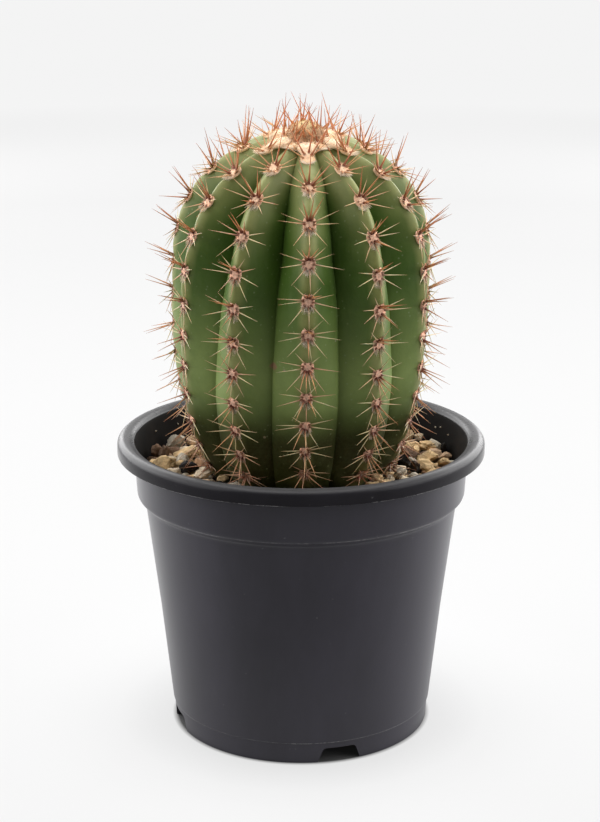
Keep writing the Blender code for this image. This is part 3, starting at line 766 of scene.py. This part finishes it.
def areole_spines(rng, youth, age):
    """Each spine of one areole: angle from straight up, rise, length, radius, start and kind."""
    spines = []
    for angle, length in RADIALS:
        if rng.random() < (0.15 if abs(angle) < 50 else 0.04) + 0.9 * soft_step(0.72, 1.0, youth):
            continue
        spines.append((angle + rng.uniform(-8, 8), rng.uniform(0.16, 0.34) + 0.75 * youth,
                       length * rng.uniform(0.86, 1.14) * (1 + 0.2 * youth), RADIAL_RADIUS, 0.64, "radial"))
    # Young centrals point up and old ones down.
    down = 1.0 - 1.8 * age
    for angle in (-26, 0, 26):
        if rng.random() < 0.12:
            continue
        turned = angle * (1 + 0.6 * age + 1.4 * youth) + rng.uniform(-12, 12)
        if down < 0:
            turned = 180 - turned * 1.2
        spines.append((turned, rng.uniform(1.1, 1.7) + 1.5 * (1 - abs(down)),
                       rng.uniform(0.0098, 0.0132) * (1 + 0.32 * youth), CENTRAL_RADIUS - 0.00011 * age, 0.50,
                       "central"))
    if rng.random() < 0.55 and youth < 0.7 and down > 0:
        spines.append((180 + rng.uniform(-25, 25), rng.uniform(2.0, 3.0), rng.uniform(0.0085, 0.0115),
                       0.00036 - 0.00008 * age, 0.45, "central"))
    return spines


def make_spines():
    """The spines of all areoles, with the dry tangle at the foot of the ribs."""
    rng = random.Random(8)
    whole = bmesh.new()
    for rib, arc, youth in each_areole():
        centre, outward, upward, sideways = stem_frame(rib, arc)
        wide, long, rise_of_pad = pad_size(arc, youth)
        age = soft_step(0.02, 0.17, arc)
        dead = soft_step(0.130, 0.116, centre.z)
        grown = areole_spines(rng, youth, age)
        # Areoles that have only just formed hold two.
        if arc < 0.012:
            grown = grown[-2:]
        for angle, rise, length, radius, start, kind in grown:
            lean = math.radians(angle)
            spread = sideways * math.sin(lean) + upward * math.cos(lean)
            noisy = Vector([rng.uniform(-0.07, 0.07) for _ in range(3)])
            direction = ((spread + outward * rise).normalized() + noisy).normalized()
            root = centre + (sideways * math.sin(lean) * wide + upward * math.cos(lean) * long) * start
            root += outward * rise_of_pad * math.sqrt(1 - start * start)
            if kind == "radial":
                middle = blended(SPINE_PALE, SPINE_PINK, rng.random() ** 2 * 0.9)
                middle = blended(middle, YOUNG_ORANGE, youth * 0.9)
                foot = blended(SPINE_FOOT, middle, 0.1 + 0.7 * youth ** 2)
                colors = (foot, middle, blended(SPINE_TIP, middle, 0.45))
            else:
                middle = blended(CENTRAL_RED, YOUNG_ORANGE, 0.2 + 0.6 * rng.random())
                middle = blended(middle, SPINE_PALE, age * 0.35)
                dark_tip = blended(SPINE_TIP, DARK_TIP, youth * rng.random())
                foot = blended(SPINE_FOOT, middle, 0.7 * youth ** 2)
                colors = (foot, middle, blended(dark_tip, middle, 0.25))
            colors = tuple(blended(color, DEAD_BROWN, dead * 0.75) for color in colors)
            tip = root + direction * length
            if tip.z < STONE_TOPS:
                direction = (direction + Vector((0.0, 0.0, 0.5))).normalized()
            add_spine(whole, root, direction, length, radius, rng.uniform(-0.05, 0.05), colors)
        # Old areoles hold a tangle of dry, broken spines.
        for _ in range(round(DRY_SPINES * dead)):
            direction = outward * rng.uniform(0.2, 1.0) + Vector([rng.uniform(-1, 1) for _ in range(3)])
            root = centre + Vector([rng.uniform(-0.0022, 0.0022) for _ in range(3)])
            color = blended(DEAD_BROWN, SOILED_FELT, rng.random() * 0.7)
            add_spine(whole, root, direction.normalized(), rng.uniform(0.003, 0.0075), 0.00017,
                      rng.uniform(-0.5, 0.5), (color, color, color))
    return finished("cactus_spines", whole, horn(), 70)


spines = make_spines()
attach(spines, "root")


# Crown. The growing point is a mound of tan wool in a ring of cream wool, which
# reaches down to the first areoles. The youngest spines stand on the mound.
MOUND_RADIUS = 0.0075
MOUND_RISE = 0.0054
WOOL_RADIUS = 0.0114
WOOL = (0.96, 0.75, 0.53)
MOUND_TOP = (0.82, 0.64, 0.34)
MOUND_SIDE = (0.60, 0.36, 0.19)
TONGUE_WIDTH = 0.0033
TONGUE_FLARE = 0.62
TONGUE_LENGTH = 0.0060
TONGUE_RISE = 0.0013
CROWN_HAIRS = 4200
TONGUE_HAIRS = 260
# Foot on the mound, and reach from there to the tip, in mm along the stem's own axes.
CROWN_SPINES = (
    ((-1.8, 2.0), (-1.0, 0.5, 11.9)), ((-1.4, 2.0), (1.1, 0.5, 11.7)), ((3.1, -3.2), (-2.9, -2.0, 9.0)),
    ((4.1, -2.4), (0.6, -1.5, 10.1)), ((-6.6, 1.5), (0.0, 1.5, 7.2)), ((-3.9, 1.5), (-6.2, 2.0, 5.1)),
    ((-4.9, -5.0), (8.9, -1.0, 12.4)), ((-5.2, -3.0), (2.4, -2.5, 10.0)), ((3.1, -6.0), (-4.8, -3.0, 6.0)),
    ((0.6, 5.8), (1.0, 7.0, 6.5)), ((5.8, 2.5), (7.0, 3.0, 5.5)), ((-0.5, -6.3), (-1.5, -5.5, 8.0)),
)
APEX = STEM_PLACE @ Vector((0.0, 0.0, OUTLINE[0][1]))
APEX_TURN = STEM_PLACE.to_3x3()


def wool_rise(reach):
    """Height of the wool over the apex at this distance from it."""
    mound = MOUND_RISE * math.sqrt(max(1 - (reach / MOUND_RADIUS) ** 2, 0.0))
    return 0.0007 + mound - 0.0016 * (reach / WOOL_RADIUS) ** 2


def mound_tone(reach, light):
    """Yellowish on top of the mound, browner down its side, and cream on the ring round it."""
    side = blended(MOUND_TOP, MOUND_SIDE, soft_step(0.25, 0.9, reach / MOUND_RADIUS))
    tone = blended(side, WOOL, soft_step(0.98, 1.12, reach / MOUND_RADIUS))
    return tuple(part * light for part in tone)


def make_crown():
    """The mound, its ring, the tongues of wool, and the hairs on all of them."""
    rng = random.Random(21)
    whole = bmesh.new()
    bm = bmesh.new()
    layer = bm.verts.layers.float_color.new("tint")
    made = bmesh.ops.create_uvsphere(bm, u_segments=64, v_segments=56, radius=1.0)["verts"]
    for vert in made:
        wide = WOOL_RADIUS * (0.96 + 0.30 * noise.noise(Vector((vert.co.x * 4, vert.co.y * 4, 2.0))))
        lumps = noise.noise(Vector((vert.co.x * 6, vert.co.y * 6, 1.0)))
        fine = noise.noise(Vector((vert.co.x * 15, vert.co.y * 15, vert.co.z * 15)))
        reach = math.hypot(vert.co.x, vert.co.y) * wide
        height = wool_rise(reach) + 0.0004 * lumps + 0.0006 * fine if vert.co.z > 0 else -0.003
        # Painted shade: the wool is darker in the dips of its lumps and paler on their tops.
        vert[layer] = (*mound_tone(reach, 0.80 + 0.35 * lumps + 0.60 * fine), 1.0)
        local = Vector((vert.co.x * wide, vert.co.y * wide, height * min(abs(vert.co.z) * 3, 1.0)))
        vert.co = APEX + APEX_TURN @ local
    gather(whole, bm)
    for _ in range(CROWN_HAIRS):
        angle = rng.uniform(0.0, math.tau)
        reach = math.sqrt(rng.random()) * WOOL_RADIUS * 1.08
        flat = Vector((math.cos(angle), math.sin(angle), 0.0))
        light = rng.uniform(0.75, 1.25)
        on_mound = reach < MOUND_RADIUS
        # Painted shadows: some hairs on the mound, and fewer on the ring, are dark, for the shade among the
        # wool.
        if rng.random() < (0.22 if on_mound else 0.10):
            light *= 0.35
        edge = soft_step(0.8, 1.0, reach / WOOL_RADIUS)
        direction = flat * (0.2 + 1.1 * reach / WOOL_RADIUS + edge) + Vector((0.0, 0.0, 1.0))
        direction += Vector([rng.uniform(-0.6, 0.6) for _ in range(3)])
        length = rng.uniform(0.0007, 0.0017) * (1 if on_mound else 1.3) * (1 + 0.6 * edge)
        root = APEX + APEX_TURN @ (flat * reach + Vector((0.0, 0.0, wool_rise(reach) - 0.0004)))
        add_hair(whole, root, (APEX_TURN @ direction).normalized(), length, 0.00009, mound_tone(reach, light))
    # From the ring, a tongue of wool runs down every second rib to its first areole.
    for rib in range(RIB_COUNT):
        if rib_shift(rib) < 0:
            continue
        middle = FIRST_AREOLE - 0.0048
        centre, outward, upward, sideways = stem_frame(rib, middle)
        bm = bmesh.new()
        layer = bm.verts.layers.float_color.new("tint")
        for vert in bmesh.ops.create_uvsphere(bm, u_segments=20, v_segments=14, radius=1.0)["verts"]:
            light = 0.95 + 0.3 * noise.noise(vert.co * 3.0 + centre * 700)
            vert[layer] = (*tuple(part * light for part in WOOL), 1.0)
            wide = TONGUE_WIDTH * (1 + TONGUE_FLARE * vert.co.y)
            x, y, z = vert.co
            vert.co = centre + sideways * x * wide + upward * y * TONGUE_LENGTH + outward * z * TONGUE_RISE
        gather(whole, bm)
        for _ in range(TONGUE_HAIRS):
            x, y = rng.uniform(-1, 1), rng.uniform(-1, 1)
            root = centre + sideways * x * TONGUE_WIDTH * (1 + TONGUE_FLARE * y) + upward * y * 0.0058
            root += outward * 0.0011 * math.sqrt(1 - 0.7 * x * x) * math.sqrt(1 - 0.7 * y * y)
            direction = outward * 0.8 + sideways * x * 1.3 - upward * 0.5
            direction += Vector([rng.uniform(-0.5, 0.5) for _ in range(3)])
            color = tuple(part * rng.uniform(0.8, 1.2) for part in WOOL)
            add_hair(whole, root, direction.normalized(), rng.uniform(0.0007, 0.0016), HAIR_RADIUS, color)
    return finished("crown_wool", whole, bpy.data.materials["areole_felt"], 60)


crown = make_crown()
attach(crown, "root")


def make_crown_spines():
    """The young spines that stand on the mound itself."""
    rng = random.Random(33)
    whole = bmesh.new()
    for (x, y), reach in CROWN_SPINES:
        root = Vector((x / 1000, y / 1000, wool_rise(math.hypot(x, y) / 1000) - 0.0006))
        direction = APEX_TURN @ Vector(reach).normalized()
        color = blended(CENTRAL_RED, YOUNG_ORANGE, 0.3 + 0.7 * rng.random())
        tip = blended(DARK_TIP, color, rng.random())
        add_spine(whole, APEX + APEX_TURN @ root, direction, Vector(reach).length / 1000, 0.00036,
                  rng.uniform(-0.03, 0.03), (blended(SPINE_FOOT, YOUNG_ORANGE, 0.7), color, tip))
    return finished("crown_spines", whole, bpy.data.materials["spine_horn"], 70)


crown_spines = make_crown_spines()
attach(crown_spines, "root")


# Potting mix. Dark sifted grit fills the pot up to a finger below the lip. It is
# poured round the roots and holds the plant up.
BED_TOP_MM = [(2.0 * step, 105.6) for step in range(33)]
BED_PROFILE_MM = BED_TOP_MM + [
    (65.0, 105.3), (66.0, 104.6), (66.2, 102.6), (65.9, 101.2), (62.8, 96.4), (57.2, 51.0), (52.7, 11.6),
    (51.0, 9.7), (0.0, 9.7)]
BED_STEPS = 160


def dark_grit():
    """Fine dark grit with paler grains in it."""
    grit = Nodes("dark_grit")
    coarse = grit.noise(260.0, 5.0, 0.7)
    base = grit.mix(grit.spread(coarse, 0.38, 0.64), (0.010, 0.008, 0.006), (0.075, 0.052, 0.034))
    grit.bump(coarse, 0.9, 0.0012)
    return grit.finish(base, 0.95, Specular_IOR_Level=0.2)


bed_mesh = spun(BED_PROFILE_MM, BED_STEPS)
for vert in bed_mesh.verts:
    if vert.co.z > 0.1050:
        vert.co.z += 0.0009 * noise.fractal(vert.co * 260.0, 0.6, 2.0, 4)
bed = finished("grit_bed", bed_mesh, dark_grit(), 50)
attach(bed, "root")
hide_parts("potting_mix")


# Gravel. Pumice, lava and ochre stones, 2 to 11 mm wide, lie over the grit, with
# grains between them.
STONE_KINDS = {
    "cream": (0.80, 0.66, 0.48),
    "ochre": (0.74, 0.52, 0.28),
    "tan": (0.55, 0.37, 0.23),
    "grey": (0.52, 0.46, 0.37),
    "orange": (0.50, 0.28, 0.15),
    "brown": (0.17, 0.105, 0.070),
    "black": (0.024, 0.021, 0.020),
}
KIND_SHARES = (("cream", 0.22), ("ochre", 0.24), ("tan", 0.22), ("grey", 0.08), ("orange", 0.06),
               ("brown", 0.11), ("black", 0.07))
# Kind, place in mm, half width and half height of the stones that show from the front.
FRONT_STONES = (
    ("grey", -54.2, 31.0, 3.9, 3.2), ("brown", -62.1, 18.1, 2.3, 2.5), ("brown", -57.4, 15.7, 2.3, 2.7),
    ("ochre", -48.3, 16.6, 5.5, 2.3), ("ochre", -57.6, 0.3, 5.2, 2.5), ("black", -46.7, -4.2, 3.7, 3.1),
    ("orange", -40.8, 1.1, 3.3, 2.3), ("cream", -40.5, -13.8, 3.5, 1.8), ("tan", -35.5, -8.8, 1.4, 1.0),
    ("ochre", -31.5, -19.7, 2.2, 1.4), ("tan", -46.8, 33.3, 3.4, 2.2), ("brown", -38.6, 9.5, 2.7, 2.7),
    ("cream", 51.0, 38.6, 1.9, 1.7), ("tan", 46.8, 40.0, 2.2, 2.4), ("ochre", 53.9, 26.0, 3.6, 2.1),
    ("grey", 60.0, 28.5, 2.8, 2.8), ("black", 62.7, 24.0, 1.1, 1.7), ("ochre", 53.2, 9.5, 3.6, 2.7),
    ("ochre", 48.7, 20.1, 1.5, 1.7), ("tan", 60.8, 11.8, 2.5, 1.3), ("ochre", 59.7, 3.7, 2.5, 1.5),
    ("ochre", 52.5, -5.4, 3.5, 1.4), ("black", 47.1, -3.5, 2.1, 2.3), ("black", 42.6, 3.3, 2.9, 2.9),
    ("brown", 46.0, 15.0, 3.4, 2.1), ("cream", 42.0, 19.7, 2.3, 1.3), ("grey", 40.3, -11.7, 2.7, 1.8),
    ("ochre", 36.5, -2.7, 1.2, 1.0), ("ochre", 30.5, -17.2, 2.8, 1.6), ("cream", 14.5, -44.0, 2.0, 1.4),
)


# Radius and number of the stones that lie where they fall.
STONE_SIZES = ((0.0036, 40), (0.0030, 70), (0.0024, 110), (0.0018, 160), (0.0013, 220))
TRIES_PER_STONE = 30
GRAINS = 1300
GRAIN_KINDS = ("black", "brown", "brown", "tan", "black", "cream", "brown")
# Angle and height of the crumbs that cling to the inside of the rim.
CRUMBS = ((118, 0.1165), (121, 0.1155), (112, 0.1150), (246, 0.1160), (232, 0.1150), (30, 0.1160),
          (160, 0.1155), (200, 0.1165), (300, 0.1158), (340, 0.1150))
FRONT_LEVEL = 0.1100
BED_LEVEL = 0.1060
STEM_LEVEL = 0.1090
BED_REACH = 0.0662
COLLAR_INSIDE_MM = 66.6
STAIN = (0.17, 0.095, 0.045)
# Dark of the pits: painted shade.
PIT_SHADE = (0.060, 0.040, 0.026)
BLOOM = (0.78, 0.70, 0.56)


def pumice():
    """Dull, pitted stone with rusty stains, painted shade in its pits, and a pale bloom over each stone's own
    tint.
    """
    stone = Nodes("pumice_stone")
    tint = stone.add("ShaderNodeAttribute", attribute_name="tint").outputs["Color"]
    pits = stone.noise(750.0, 5.0, 0.75)
    stains = stone.noise(200.0, 4.0, 0.6)
    base = stone.mix(stone.spread(stains, 0.52, 0.75, 0.0, 0.45), tint, STAIN)
    # Painted shade: the stone is darker in the pits of its bump.
    base = stone.mix(stone.spread(pits, 0.44, 0.30, 0.0, 0.55), base, PIT_SHADE)
    base = stone.mix(stone.spread(pits, 0.60, 0.75, 0.0, 0.35), base, BLOOM)
    stone.bump(stone.math("ADD", pits, stone.math("MULTIPLY", stains, 1.5)), 1.0, 0.0008)
    return stone.finish(base, 0.92, Specular_IOR_Level=0.25)


def add_stone(whole, centre, size, color, rng, subdivisions=2):
    """A worn lump of pumice: a ball pushed out of shape, flattened here and there, and turned."""
    bm = bmesh.new()
    layer = bm.verts.layers.float_color.new("tint")
    made = bmesh.ops.create_icosphere(bm, subdivisions=subdivisions, radius=1.0)["verts"]
    seed = Vector([rng.uniform(-50, 50) for _ in range(3)])
    turn = Matrix.Rotation(rng.uniform(-0.35, 0.35), 3, "Z") @ Matrix.Rotation(rng.uniform(-0.3, 0.3), 3, "Y")
    worn = []
    for _ in range(6):
        facing = Vector([rng.uniform(-1, 1) for _ in range(3)]).normalized()
        worn.append((facing, rng.uniform(0.58, 0.82)))
    for vert in made:
        rough = 0.42 * noise.noise(vert.co * 1.2 + seed) + 0.22 * noise.noise(vert.co * 2.9 + seed)
        point = vert.co * (1 + rough + 0.10 * noise.noise(vert.co * 7.0 + seed))
        for facing, depth in worn:
            point -= facing * max(point.dot(facing) - depth, 0.0) * 0.9
        shade = 1 + 0.35 * noise.noise(vert.co * 1.7 + seed * 2)
        vert[layer] = (*tuple(part * shade for part in color), 1.0)
        vert.co = centre + turn @ Vector((point.x * size[0], point.y * size[1], point.z * size[2])) * 1.08
    gather(whole, bm)


def stem_gap(x, y, z):
    """Distance from the rib crests to a point near the ground."""
    local = STEM_PLACE.inverted() @ Vector((x, y, z))
    share = min(max((WIDEST_HEIGHT - local.z) / TAPER_DEPTH, 0.0), 1.0)
    return math.hypot(local.x, local.y) - STEM_RADIUS * math.sqrt(1 - share ** TAPER_POWER)


def make_gravel():
    """The stones in front where they lie, then smaller and smaller ones between them, and grains."""
    rng = random.Random(14)
    whole = bmesh.new()
    laid = []

    def shade_of(kind):
        """The kind's colour, lighter or darker from stone to stone."""
        light = rng.uniform(0.82, 1.15)
        return tuple(part * light for part in STONE_KINDS[kind])

    for kind, x, y, wide, tall in FRONT_STONES:
        # A stone near the wall lies against it.
        inward = min(1.0, (COLLAR_INSIDE_MM - 1.25 * wide) / math.hypot(x, y))
        x, y = x * inward, y * inward
        laid.append((x / 1000, y / 1000, (wide + tall) / 2000))
        size = (wide / 1000, (0.55 * wide + 0.45 * tall) / 1000, tall / 1000)
        add_stone(whole, Vector((x / 1000, y / 1000, FRONT_LEVEL)), size, shade_of(kind), rng, 4)
    for radius, count in STONE_SIZES:
        for _ in range(count * TRIES_PER_STONE):
            if count == 0:
                break
            reach = math.sqrt(rng.uniform(0.12, 1.0)) * (BED_REACH - radius)
            place = around(reach, rng.uniform(0.0, 360.0), 0.0)
            if stem_gap(place.x, place.y, STEM_LEVEL) < radius * 0.8:
                continue
            if any(math.hypot(place.x - x, place.y - y) < (radius + other) * 0.84 for x, y, other in laid):
                continue
            laid.append((place.x, place.y, radius))
            pick = rng.random()
            for kind, share in KIND_SHARES:
                pick -= share
                if pick <= 0:
                    break
            size = [radius * rng.uniform(0.85, 1.2) for _ in range(2)] + [radius * rng.uniform(0.65, 0.9)]
            place.z = BED_LEVEL + radius * 0.65
            add_stone(whole, place, size, shade_of(kind), rng, 3 if radius > 0.0025 else 2)
            count -= 1
    for _ in range(GRAINS):
        radius = rng.uniform(0.0004, 0.0011)
        place = around(math.sqrt(rng.uniform(0.15, 1.0)) * 0.0655, rng.uniform(0.0, 360.0), 0.0)
        if stem_gap(place.x, place.y, STEM_LEVEL) < 0.0003:
            continue
        place.z = BED_LEVEL + rng.uniform(0.0, 0.0016)
        kind = rng.choice(GRAIN_KINDS)
        add_stone(whole, place, (radius, radius, radius * 0.8), shade_of(kind), rng, 1)
    for degrees, height in CRUMBS:
        place = around(0.0677 + (height - 0.1150) * 0.11, degrees, height)
        add_stone(whole, place, (0.0005, 0.0005, 0.0004), shade_of("grey"), rng, 1)
    return finished("gravel", whole, pumice(), 50)


gravel = make_gravel()
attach(gravel, "root")


# Studio. White paper glows by itself, which is painted light, and shadows on it
# are faint. Large soft lights stand behind the pot and beside it, one hangs
# overhead, and the front stays dim.
PAPER = (0.10, 0.10, 0.10)
# Distance from the pot's axis and how brightly the paper glows there: painted light,
# with a painted contact shadow where it dips near the pot's foot.
PAPER_GLOW = ((0.0, 0.66), (0.055, 0.67), (0.062, 0.70), (0.075, 0.745), (0.10, 0.755), (0.15, 0.73),
              (0.3, 0.708), (0.5, 0.69), (0.8, 0.652), (1.0, 0.635), (1.24, 0.645), (1.57, 0.751),
              (2.0, 0.855), (2.63, 0.875), (4.0, 0.885))
GLOW_REACH = 4.0
# Where the painted shade under the pot fades out.
HOLLOW_SHADE_EDGE = (0.0524, 0.0550)


def make_floor():
    """A round sheet of paper that reaches past what the camera sees."""
    bm = bmesh.new()
    bmesh.ops.create_circle(bm, cap_ends=True, segments=96, radius=40.0)
    paper = Nodes("white_paper")
    reach = paper.add("ShaderNodeVectorMath", {"Vector": paper.place}, operation="LENGTH").outputs["Value"]
    ramp = paper.add("ShaderNodeValToRGB", {"Fac": paper.math("DIVIDE", reach, GLOW_REACH)})
    stops = ramp.color_ramp.elements
    while len(stops) < len(PAPER_GLOW):
        stops.new(0.5)
    for stop, (distance, glow) in zip(stops, PAPER_GLOW):
        stop.position = distance / GLOW_REACH
        stop.color = (glow, glow, glow, 1.0)
    paper.feed(paper.shader.inputs["Emission Color"], ramp.outputs["Color"])
    # The glow lights the object more from behind and the sides than from the front.
    seen = paper.add("ShaderNodeLightPath").outputs["Is Camera Ray"]
    depth = paper.add("ShaderNodeSeparateXYZ", {"Vector": paper.place}).outputs["Y"]
    cast = paper.spread(depth, -0.15, 0.30, 0.32, 1.9)
    strength = paper.math("ADD", seen, paper.math("MULTIPLY", paper.math("SUBTRACT", 1.0, seen), cast))
    # Painted shade: the glow fades to dark in the hollow under the pot.
    strength = paper.math("MULTIPLY", strength, paper.spread(reach, *HOLLOW_SHADE_EDGE, 0.005, 1.0))
    paper.feed(paper.shader.inputs["Emission Strength"], strength)
    return finished("floor", bm, paper.finish(PAPER, 0.9, Specular_IOR_Level=0.0))


floor = make_floor()

world = bpy.data.worlds.new("white_sky")
world.use_nodes = True
sky = world.node_tree.nodes["Background"]
sky.inputs["Color"].default_value = (1.0, 1.0, 1.0, 1.0)
rays = world.node_tree.nodes.new("ShaderNodeLightPath")
strength = world.node_tree.nodes.new("ShaderNodeMapRange")
world.node_tree.links.new(rays.outputs["Is Camera Ray"], strength.inputs["Value"])
strength.inputs["To Min"].default_value = 0.18
strength.inputs["To Max"].default_value = 0.95
world.node_tree.links.new(strength.outputs["Result"], sky.inputs["Strength"])
bpy.context.scene.world = world


def soft_light(name, place, aim, size, power):
    """A wide lamp, hidden from the camera, that faces its aim."""
    light = bpy.data.lights.new(name, "AREA")
    light.shape = "RECTANGLE"
    light.size, light.size_y = size
    light.energy = power
    lamp = bpy.data.objects.new(name, light)
    lamp.location = place
    lamp.rotation_euler = (Vector(aim) - Vector(place)).to_track_quat("-Z", "Y").to_euler()
    lamp.visible_camera = False
    bpy.context.scene.collection.objects.link(lamp)


for side in (-1, 1):
    soft_light("behind", (0.90 * side, 0.90, 0.66), (0.0, 0.0, 0.16), (1.5, 1.0), 23.0)
    soft_light("beside", (1.15 * side, -0.20, 0.66), (0.0, 0.0, 0.16), (1.4, 1.0), 15.0)
soft_light("far_behind", (0.0, 1.5, 0.75), (0.0, 0.0, 0.12), (1.3, 0.7), 4.0)
soft_light("overhead", (0.0, 0.20, 1.6), (0.0, 0.0, 0.1), (1.4, 1.4), 26.0)
